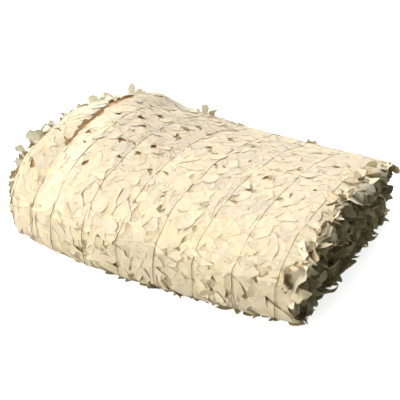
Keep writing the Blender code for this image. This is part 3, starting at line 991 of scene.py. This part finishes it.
def foot_leaves():
    for stretch, first, last, rises, most in FOOT_ZONES:
        s = place_on(stretch, first)
        while s < place_on(stretch, last):
            for x in row_places(FOOT_SPACING):
                root, along, normal = frame_at(s + jitter(FOOT_SPACING), x, PLY_OFFSET + FOOT_RAISE)
                heading = turned(along, normal, RNG.uniform(-most, most), rises)
                yield drawn_leaf(root, heading, normal, *FOOT_RANGES)
            s += FOOT_SPACING


FRINGE_FROM, FRINGE_TO = -0.03, 0.335  # where along X it starts and ends
FRINGE_PLACES = (0.16, 0.20)  # where along the main fold the fringe's leaves start
FRINGE_SPACING = 0.012
FRINGE_SHARE = 0.85  # of the places that have a leaf
FRINGE_RAISES = (0.002, 0.008)
FRINGE_LENGTHS = (0.029, 0.039)
FRINGE_WIDTHS = (0.40, 0.55)  # for their length
FRINGE_SHADE = -0.050  # as deep in shade as leaves that lie so far under the pile's mean height
UPWARDS = np.array([0.0, 0.0, 1.0])


def foot_fringe():
    """Leaves that reach forwards over the floor from under the main fold."""
    for x in np.arange(FRINGE_FROM, FRINGE_TO, FRINGE_SPACING):
        if RNG.random() > FRINGE_SHARE:
            continue
        s = place_on(MAIN_FOLD, RNG.uniform(*FRINGE_PLACES))
        root = frame_at(s, x + RNG.uniform(-0.008, 0.008), PLY_OFFSET)[0]
        root[2] += RNG.uniform(*FRINGE_RAISES)
        angle = RNG.normal(0, 0.45)
        heading = unit(np.array([math.sin(angle), -math.cos(angle), RNG.uniform(-0.2, 0.0)]))
        length = RNG.uniform(*FRINGE_LENGTHS)
        half_width = RNG.uniform(*FRINGE_WIDTHS) * length
        bend, cup = -RNG.uniform(0.0, 0.5), RNG.uniform(-0.2, 0.2)
        looks = (RNG.choice(SHAPES_OF["fringe"]), FRINGE_SHADE)
        yield free_leaf(root, heading, UPWARDS, length, half_width, bend, cup, 0.2, *looks)


# Leaf tips along the left rim: on which stretch and where, how long and how far they lean outwards.
LEFT_TIPS = (
    (MAIN_FOLD, 0.82, 0.026, 1.3),
    (MAIN_FOLD, 0.90, 0.034, 1.1),
    (TOP, 0.01, 0.042, 0.3),
    (TOP, 0.07, 0.030, 0.1),
    (TOP, 0.20, 0.024, 0.4),
    (TOP, 0.36, 0.018, 0.4),
    (TOP, 0.52, 0.024, 0.3),
    (TOP, 0.58, 0.020, -0.1),
    (TOP, 0.69, 0.036, 0.3),
    (TOP, 0.76, 0.030, -0.2),
    (TOP, 0.88, 0.030, 0.2),
    (TOP, 0.98, 0.034, 0.0),
)
LEFT_TIP_X = -0.366
LEFT_TIP_SHADE = -0.0090
LEFT_TIP_WIDTH = 0.42
# Leaf tips along the back of the top: where along X, how long, how far they lean to the right,
# their shape and their half width for their length.
BACK_TIPS = (
    (-0.356, 0.048, 0.0, "lobe", 0.24),
    (-0.344, 0.032, 0.5, "lobe", 0.30),
    (-0.322, 0.018, 0.4, "tail", 0.42),
    (-0.130, 0.026, -0.2, "lobe", 0.42),
    (-0.118, 0.022, 0.4, "hook", 0.42),
)
BACK_TIP_SHADE = -0.0140


def standing_tip(s, x, heading, facing, length, width, bend, *looks):
    """A leaf that stands up from the top with its reverse side out."""
    root = frame_at(s, x, PLY_OFFSET + BACK_RAISE)[0]
    points, plan, _, over = free_leaf(root, heading, facing, length, width * length, bend, 0.1, 0.2, *looks)
    return points, plan, REVERSE_TONE, over


def left_tips():
    for stretch, share, length, lean in LEFT_TIPS:
        heading = unit(np.array([-lean, RNG.uniform(-0.1, 0.3), 1.0]))
        facing = unit(np.array([0.1 - 0.25 * lean, -0.85, 0.35 + 0.2 * lean]))
        size = (length, LEFT_TIP_WIDTH, 0.4)
        looks = (RNG.choice(SHAPES_OF["tips"]), LEFT_TIP_SHADE, -0.2)
        yield standing_tip(place_on(stretch, share), LEFT_TIP_X, heading, facing, *size, *looks)


def back_tips():
    facing = unit(np.array([-0.1, 1.0, 0.3]))
    for x, length, lean, shape, width in BACK_TIPS:
        s = place_on(UPPER_BACK_FOLD, RNG.uniform(0.08, 0.18))
        heading = unit(np.array([lean, 0.4, 1.0]))
        yield standing_tip(s, x, heading, facing, length, width, -0.4, shape, BACK_TIP_SHADE)


BACK_ROWS = 0.015  # between the rows over the lower back folds
BACK_SPACING = 0.020
# The two edges of the net: in which level they are, and the rows of leaves inwards from them.
EDGE_ROWS = ((1, 0.010), (1, 0.028), (2, -0.010), (2, -0.028))
EDGE_SPACING = 0.024
BACK_RAISE = 0.001
BACK_RANGES = ((0.030, 0.046), (0.36, 0.48), (0.3, 1.3), 0.15, 0.4)  # for drawn_leaf


def back_row(s, ply, spacing, rises, angle):
    """A row of leaves along X that head backwards, turned by about an angle."""
    for x in row_places(spacing):
        root, along, normal = frame_at(s + RNG.uniform(-0.005, 0.005), x, ply * (PLY_OFFSET + BACK_RAISE))
        backwards = along if along[1] > 0 else -along
        heading = turned(backwards, normal, angle + RNG.normal(0, 0.6), rises)
        yield drawn_leaf(root, heading, normal, *BACK_RANGES)


def back_leaves():
    """Leaves over the lower back folds, and along the net's two edges at the back."""
    for s in np.arange(*SPANS[(4, 3)], BACK_ROWS):
        yield from back_row(s, 1, BACK_SPACING, (0.0, 0.3), RNG.uniform(-0.5, 0.5))
    for level, inward in EDGE_ROWS:
        edge = SPANS[level][0] if level == 1 else SPANS[level][1]
        for ply in (1, -1):
            yield from back_row(edge + inward, ply, EDGE_SPACING, (-0.1, 0.3), 0.0)


# ---- cords

CORD_RADIUS = 0.0007
CORD_STEP = 0.005
CORD_SIDES = 6
CORD_EASE = 2  # samples to either side that its height is eased over
CORD_START = 0.012
CORD_END = SPANS[UPPER_BACK_FOLD][1] + 0.30
CORD_SEAT = 0.6  # of its radius: how far its middle is over what it lies on
BURIED_CORD = -0.350  # the cord that the leaves of the left rim mostly cover
BURIED = 0.75  # share of the pile's height at which it lies
CREASE_CORD_RISE = 0.0014  # of the cord that carries on from the crack, over the leaves
LOW_CORD_SHARES = (0.08, 0.18, 0.50, 0.70)  # of the main fold, where cords lie over lifted leaves
LOW_CORD_RISES = (0.0, 0.0036, 0.0030, 0.0)
GAPE_SHARES = (0.10, 0.22, 0.80, 0.92)  # of the top, where the cord at the crease lies in the crack
GAPES = (0.0, 1.0, 1.0, 0.0)


def cord_outline(s, x):
    """Where a cord lies: on the leaves, but deep in the crease where that gapes."""
    on_leaves = net_point(s, x, np.zeros_like(s), LEAF_OUTLINE)
    in_crease = net_point(s, x, np.zeros_like(s), NET_OUTLINE)
    open_here = np.interp(share_on(TOP, s), GAPE_SHARES, GAPES)
    return on_leaves + open_here[:, None] * (in_crease - on_leaves)


def build_cord(name, x, pile, material):
    s = np.arange(CORD_START, CORD_END, CORD_STEP)
    wander = 0.0012 * np.sin(s * 31 + x * 90) + 0.0009 * np.sin(s * 77 + x * 40)
    xs = x + wander
    over = pile.over_ground(s, xs, pile.at(s, xs))
    height = np.where(s < OUTER_END, pressed(s, xs, over), 0.0)
    top = np.array([height[max(i - CORD_EASE, 0) : i + CORD_EASE + 1].max() for i in range(s.size)])
    smooth = averaged(top, reach=CORD_EASE)
    smooth *= BURIED if x == BURIED_CORD else 1.0
    smooth += CREASE_CORD_RISE if x == CREASE_X else 0.0
    smooth += np.interp(share_on(MAIN_FOLD, s), LOW_CORD_SHARES, LOW_CORD_RISES)
    flat = net_point(s, xs, np.zeros_like(s))
    centre = net_point(s, xs, PLY_OFFSET + CLOTH + smooth + CORD_RADIUS * CORD_SEAT)
    centre += cord_outline(s, xs) - flat
    centre[:, 2] = np.maximum(centre[:, 2], CORD_RADIUS + FLOOR_MARGIN)
    along = np.gradient(centre, axis=0)
    along /= np.linalg.norm(along, axis=1, keepdims=True)
    across = np.cross(along, np.array([1.0, 0.0, 0.0]))
    across /= np.linalg.norm(across, axis=1, keepdims=True)
    side = np.cross(across, along)
    angles = 2 * np.pi * np.arange(CORD_SIDES) / CORD_SIDES
    ring = np.cos(angles)[None, :, None] * across[:, None] + np.sin(angles)[None, :, None] * side[:, None]
    points = centre[:, None] + CORD_RADIUS * ring
    numbers = np.arange(s.size * CORD_SIDES).reshape(s.size, CORD_SIDES)
    here, there = numbers[:-1], numbers[1:]
    quads = np.stack((here, np.roll(here, -1, 1), np.roll(there, -1, 1), there), axis=-1)
    mesh = mesh_from_arrays(name, points, quads)
    bm = bmesh.new()
    bm.from_mesh(mesh)
    bmesh.ops.holes_fill(bm, edges=[edge for edge in bm.edges if edge.is_boundary])
    bmesh.ops.recalc_face_normals(bm, faces=bm.faces)
    bm.to_mesh(mesh)
    bm.free()
    add_attribute(mesh, "run", np.repeat(s, CORD_SIDES))
    return link(name, mesh, material)


# ---- materials


class Nodes:
    """A material's nodes. A call adds one with its inputs set or joined, and gives an output."""

    def __init__(self, name):
        self.material = bpy.data.materials.new(name)
        self.material.use_nodes = True
        self.tree = self.material.node_tree
        self.shader = self.tree.nodes["Principled BSDF"]

    def fill(self, node, inputs):
        for name, value in inputs.items():
            socket = node.inputs[name]
            if isinstance(value, bpy.types.NodeSocket):
                self.tree.links.new(value, socket)
            else:
                socket.default_value = (*value, 1.0) if socket.type == "RGBA" else value

    def add(self, kind, output, inputs, **settings):
        node = self.tree.nodes.new("ShaderNode" + kind)
        for name, value in settings.items():
            setattr(node, name, value)
        self.fill(node, inputs)
        return node.outputs[output]

    def place(self):
        return self.add("TexCoord", "Object", {})

    def attribute(self, name, output="Fac"):
        return self.add("Attribute", output, {}, attribute_name=name)

    def axis(self, vector, name):
        return self.add("SeparateXYZ", name, {0: vector})

    def span(self, value, low, high, at_low=0.0, at_high=1.0):
        """Takes low...high to at_low...at_high, and holds it at those beyond."""
        inputs = {"Value": value, "From Min": low, "From Max": high, "To Min": at_low, "To Max": at_high}
        return self.add("MapRange", "Result", inputs)

    def math(self, operation, *values):
        return self.add("Math", "Value", dict(enumerate(values)), operation=operation)

    def mix(self, share, first, second):
        return self.add("Mix", "Result", {"Factor": share, "A": first, "B": second}, data_type="RGBA")

    def noise(self, place, scale, detail):
        return self.add("TexNoise", "Fac", {"Vector": place, "Scale": scale, "Detail": detail})

    def cells(self, place, scale):
        return self.add("TexVoronoi", "Distance", {"Vector": place, "Scale": scale})

    def bands(self, place, scale, distortion, way):
        inputs = {"Vector": place, "Scale": scale, "Distortion": distortion}
        return self.add("TexWave", "Fac", inputs, wave_type="BANDS", bands_direction=way)

    def ramp(self, share, *stops):
        """Colours between stops, each of them a place and a colour."""
        output = self.add("ValToRGB", "Color", {"Fac": share})
        elements = output.node.color_ramp.elements
        for element, (place, colour) in zip(tuple(elements), (stops[0], stops[-1])):
            element.position, element.color = place, (*colour, 1.0)
        for place, colour in stops[1:-1]:
            elements.new(place).color = (*colour, 1.0)
        return output

    def bump(self, height, strength, distance, **under):
        inputs = {"Height": height, "Strength": strength, "Distance": distance, **under}
        return self.add("Bump", "Normal", inputs)

    def finish(self, **inputs):
        """Sets the shader's inputs, named with _ for a space."""
        self.fill(self.shader, {name.replace("_", " "): value for name, value in inputs.items()})
        return self.material


GREYISH, PINKISH, PALE, YELLOWISH = (
    (0.68, 0.635, 0.51),
    (0.79, 0.68, 0.535),
    (0.80, 0.71, 0.54),
    (0.80, 0.72, 0.50),
)
REVERSE = (0.70, 0.71, 0.62)
# Worn patches, and painted shade near a leaf's root.
WORN_AND_ROOT_SHADE = (0.72, 0.60, 0.41)
# Painted shade: the darker, the deeper a leaf lies in the pile or the more shade it is given.
PAINTED_DEEP_SHADE = (0.36, 0.29, 0.16)
PAINTED_DEEPEST_SHADE = (0.13, 0.11, 0.055)
# Painted shade along leaf edges.
PAINTED_EDGE_SHADE = (0.40, 0.30, 0.13)
THROUGH = (0.78, 0.71, 0.48)  # the light that comes through a leaf
THROUGH_SHARE = 0.20


def leaf_material():
    nodes = Nodes("leaf cloth")
    place = nodes.place()
    cloth = nodes.attribute("cloth", "Vector")
    over = nodes.attribute("over")
    tone = nodes.axis(cloth, "Z")
    colour = nodes.ramp(tone, (0.0, GREYISH), (0.28, PINKISH), (0.55, PALE), (1.0, YELLOWISH))
    colour = nodes.mix(nodes.span(tone, 1.1, 1.4), colour, REVERSE)
    # Worn in random patches, painted shade near the root, and painted shade that darkens a leaf the deeper it
    # lies in the pile.
    colour = nodes.mix(nodes.span(nodes.noise(place, 26.0, 4.0), 0.45, 0.75, 0.0, 0.30), colour, WORN_AND_ROOT_SHADE)
    colour = nodes.mix(nodes.span(nodes.attribute("reach"), 0.0, 0.35, 0.55, 0.0), colour, WORN_AND_ROOT_SHADE)
    colour = nodes.mix(nodes.span(over, -0.030, -0.008, 0.88, 0.0), colour, PAINTED_DEEP_SHADE)
    colour = nodes.mix(nodes.span(over, -0.048, -0.034, 0.80, 0.0), colour, PAINTED_DEEPEST_SHADE)
    # Painted shade: a brown line along a leaf's edge, in places, for the thin shadow under its lifted cut
    # edge.
    along_rim = nodes.span(nodes.attribute("rim"), 0.76, 0.88)
    in_places = nodes.span(nodes.noise(place, 34.0, 2.0), 0.47, 0.57, 0.0, 0.65)
    colour = nodes.mix(nodes.math("MULTIPLY", along_rim, in_places), colour, PAINTED_EDGE_SHADE)

    # Relief: the weave, small flat facets with wandering borders, and crinkles over them.
    warp, weft = (nodes.bands(cloth, 420.0, 0.6, way) for way in "XY")
    weave = nodes.bump(nodes.math("MULTIPLY", warp, weft), 0.35, 0.0003)
    crinkle = nodes.noise(place, 85.0, 3.0)
    warped = {0: crinkle.node.outputs["Color"], 1: (0.012, 0.012, 0.012), 2: place}
    facets = nodes.cells(nodes.add("VectorMath", "Vector", warped, operation="MULTIPLY_ADD"), 46.0)
    normal = nodes.bump(facets, 0.6, 0.0030, Normal=weave)
    normal = nodes.bump(crinkle, 0.5, 0.0016, Normal=normal)

    through = nodes.add("BsdfTranslucent", "BSDF", {"Color": THROUGH})
    layers = {"Fac": THROUGH_SHARE, 1: nodes.shader.outputs["BSDF"], 2: through}
    nodes.fill(nodes.tree.nodes["Material Output"], {"Surface": nodes.add("MixShader", "Shader", layers)})
    sheen = {"Sheen_Weight": 0.12, "Sheen_Roughness": 0.5}
    return nodes.finish(Base_Color=colour, Roughness=0.78, Normal=normal, **sheen)


def net_material():
    """Painted shade and a painted glow: brown and a little aglow high inside the bundle and at the crease,
    plain elsewhere and darker at the ends, for what shows through the gaps between the leaves.
    """
    nodes = Nodes("net cloth inside")
    place = nodes.place()
    x = nodes.axis(place, "X")
    # Painted shade seen through the gaps: brown, a paler olive right of the middle, lighter at the crease.
    browns = (0.3, (0.25, 0.125, 0.040)), (0.7, (0.38, 0.205, 0.075))
    brown = nodes.ramp(nodes.noise(place, 60.0, 5.0), *browns)
    brown = nodes.mix(nodes.span(x, -0.13, -0.02), brown, (0.40, 0.31, 0.15))
    off_crease = nodes.math("ABSOLUTE", nodes.math("SUBTRACT", x, CREASE_X))
    at_crease = nodes.span(off_crease, 0.014, 0.022, 1.0, 0.0)
    brown = nodes.mix(at_crease, brown, (0.70, 0.48, 0.26))
    # Painted shade: plain but darker at the ends, brown high inside.
    inside = nodes.span(nodes.math("ABSOLUTE", x), 0.325, 0.345, 1.0, 0.0)
    plain = nodes.mix(inside, (0.27, 0.22, 0.125), (0.46, 0.38, 0.24))
    high = nodes.span(nodes.axis(place, "Z"), 0.150, 0.180)
    colour = nodes.mix(nodes.math("MULTIPLY", high, inside), plain, brown)
    # Painted glow, as of light through the cloth: inside the bundle, more at the crease.
    glow = nodes.math("MULTIPLY", inside, nodes.span(at_crease, 0.0, 1.0, 0.20, 0.30))
    return nodes.finish(
        Base_Color=colour,
        Emission_Color=colour,
        Emission_Strength=glow,
        Roughness=0.85,
        Sheen_Weight=0.1,
        Normal=nodes.bump(nodes.cells(place, 900.0), 0.3, 0.0004),
    )


def cord_material():
    """Twisted strands, in patches of brown, and darker low on the front: painted shade there."""
    nodes = Nodes("sewn cord twist")
    place = nodes.place()
    patches = {"Scale": 40.0, "W": nodes.attribute("run")}
    patches = nodes.add("TexNoise", "Fac", patches, noise_dimensions="1D")
    brown = nodes.ramp(patches, (0.3, (0.26, 0.18, 0.10)), (0.7, (0.50, 0.38, 0.24)))
    # Painted shade: darker low on the front.
    low = nodes.span(nodes.axis(place, "Z"), 0.05, 0.12, 0.75, 0.0)
    strands = nodes.bump(nodes.bands(place, 260.0, 1.0, "DIAGONAL"), 0.6, 0.0004)
    return nodes.finish(Base_Color=nodes.mix(low, brown, (0.17, 0.085, 0.035)), Roughness=0.8, Normal=strands)


FLOOR_GLOW = 0.8  # keeps the floor pale in the bundle's shadow


def floor_material():
    grey, white = (0.80, 0.80, 0.80), (1.0, 1.0, 1.0)
    nodes = Nodes("pale floor")
    return nodes.finish(Base_Color=grey, Roughness=0.9, Emission_Color=white, Emission_Strength=FLOOR_GLOW)


# ---- stage

CAMERA_AZIMUTH = 30.27
CAMERA_ELEVATION = 29.24
CAMERA_DISTANCE = 2.419
CAMERA_TARGET = (0.0327, -0.0462, 0.112)
CAMERA_FIELD = 22.0


def direction(azimuth, elevation):
    """The direction from the target to a camera or light at these angles."""
    level = math.cos(elevation)
    return Vector((math.sin(azimuth) * level, -math.cos(azimuth) * level, math.sin(elevation)))


def aimed(name, data, azimuth, elevation, distance, target=(0.0, 0.0, 0.0)):
    """A camera or a light that looks at the target from these angles, in degrees."""
    back = direction(math.radians(azimuth), math.radians(elevation))
    thing = bpy.data.objects.new(name, data)
    thing.location = Vector(target) + back * distance
    thing.rotation_euler = back.to_track_quat("Z", "Y").to_euler()
    bpy.context.scene.collection.objects.link(thing)
    return thing


# Suns: from where, how strong, how soft and in which colour. Angles in degrees.
LIGHTS = {
    "key": (-70, 50, 1.42, 45.0, (1.0, 0.95, 0.90)),
    "left softbox": (-95, 52, 1.16, 90.0, (1.0, 0.95, 0.915)),
    "front fill": (-36, 6, 6.0, 50.0, (1.0, 0.96, 0.875)),
    "back fill": (-150, 42, 2.8, 60.0, (0.98, 0.97, 1.0)),
}
LIGHT_DISTANCE = 4.0
FLOOR_REACH = 60.0
WORLD_COLOUR = (0.86, 1.0, 0.76)
WORLD_STRENGTH = 0.12


def build_stage():
    data = bpy.data.cameras.new("camera")
    data.angle = math.radians(CAMERA_FIELD)
    place = (CAMERA_AZIMUTH, CAMERA_ELEVATION, CAMERA_DISTANCE, CAMERA_TARGET)
    bpy.context.scene.camera = aimed("camera", data, *place)
    mesh = bpy.data.meshes.new("floor")
    corners = [(x * FLOOR_REACH, y * FLOOR_REACH, 0) for x, y in ((-1, -1), (1, -1), (1, 1), (-1, 1))]
    mesh.from_pydata(corners, [], [(0, 1, 2, 3)])
    floor = link("floor", mesh, floor_material())
    floor.visible_diffuse = False
    for name, (azimuth, elevation, strength, softness, colour) in LIGHTS.items():
        data = bpy.data.lights.new(name, "SUN")
        data.energy, data.angle, data.color = strength, math.radians(softness), colour
        aimed(name, data, azimuth, elevation, LIGHT_DISTANCE)
    world = bpy.data.worlds.new("studio")
    world.use_nodes = True
    background = world.node_tree.nodes["Background"]
    background.inputs["Color"].default_value = (*WORLD_COLOUR, 1.0)
    background.inputs["Strength"].default_value = WORLD_STRENGTH
    bpy.context.scene.world = world
    bpy.context.scene.view_settings.view_transform = "Standard"


# ---- the whole

LEAVES_A_PIECE = 1300  # at most


def ride(piece):
    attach(piece, "root")


def in_pieces(name, leaves, material):
    """Splits many leaves into pieces that are small enough each."""
    leaves = list(leaves)
    count = -(-len(leaves) // LEAVES_A_PIECE)
    return [build_leaves(f"{name}_{i + 1}", leaves[i::count], material) for i in range(count)]


def main():
    build_stage()
    leaf_cloth = leaf_material()
    net = build_net(net_material())
    pile = Pile(OUTER_START, OUTER_END)
    pieces = in_pieces("scale_leaves", lay_all(pile), leaf_cloth)
    pieces += in_pieces("right_end_leaves", end_leaves(1), leaf_cloth)
    pieces += in_pieces("left_end_leaves", end_leaves(-1), leaf_cloth)
    loose = [*foot_leaves(), *foot_fringe(), *left_tips(), *back_tips(), *back_leaves()]
    pieces += in_pieces("loose_leaves", loose, leaf_cloth)
    twist = cord_material()
    cords = [build_cord(f"net_cord_{number}", x, pile, twist) for number, x in enumerate(CORD_X, 1)]
    for number, cord in enumerate(cords, 1):
        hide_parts(f"sewn_cord_{number}")
    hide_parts("garnish_net")
    for piece in [net] + pieces:
        ride(piece)
    for cord in cords:
        ride(cord)


main()
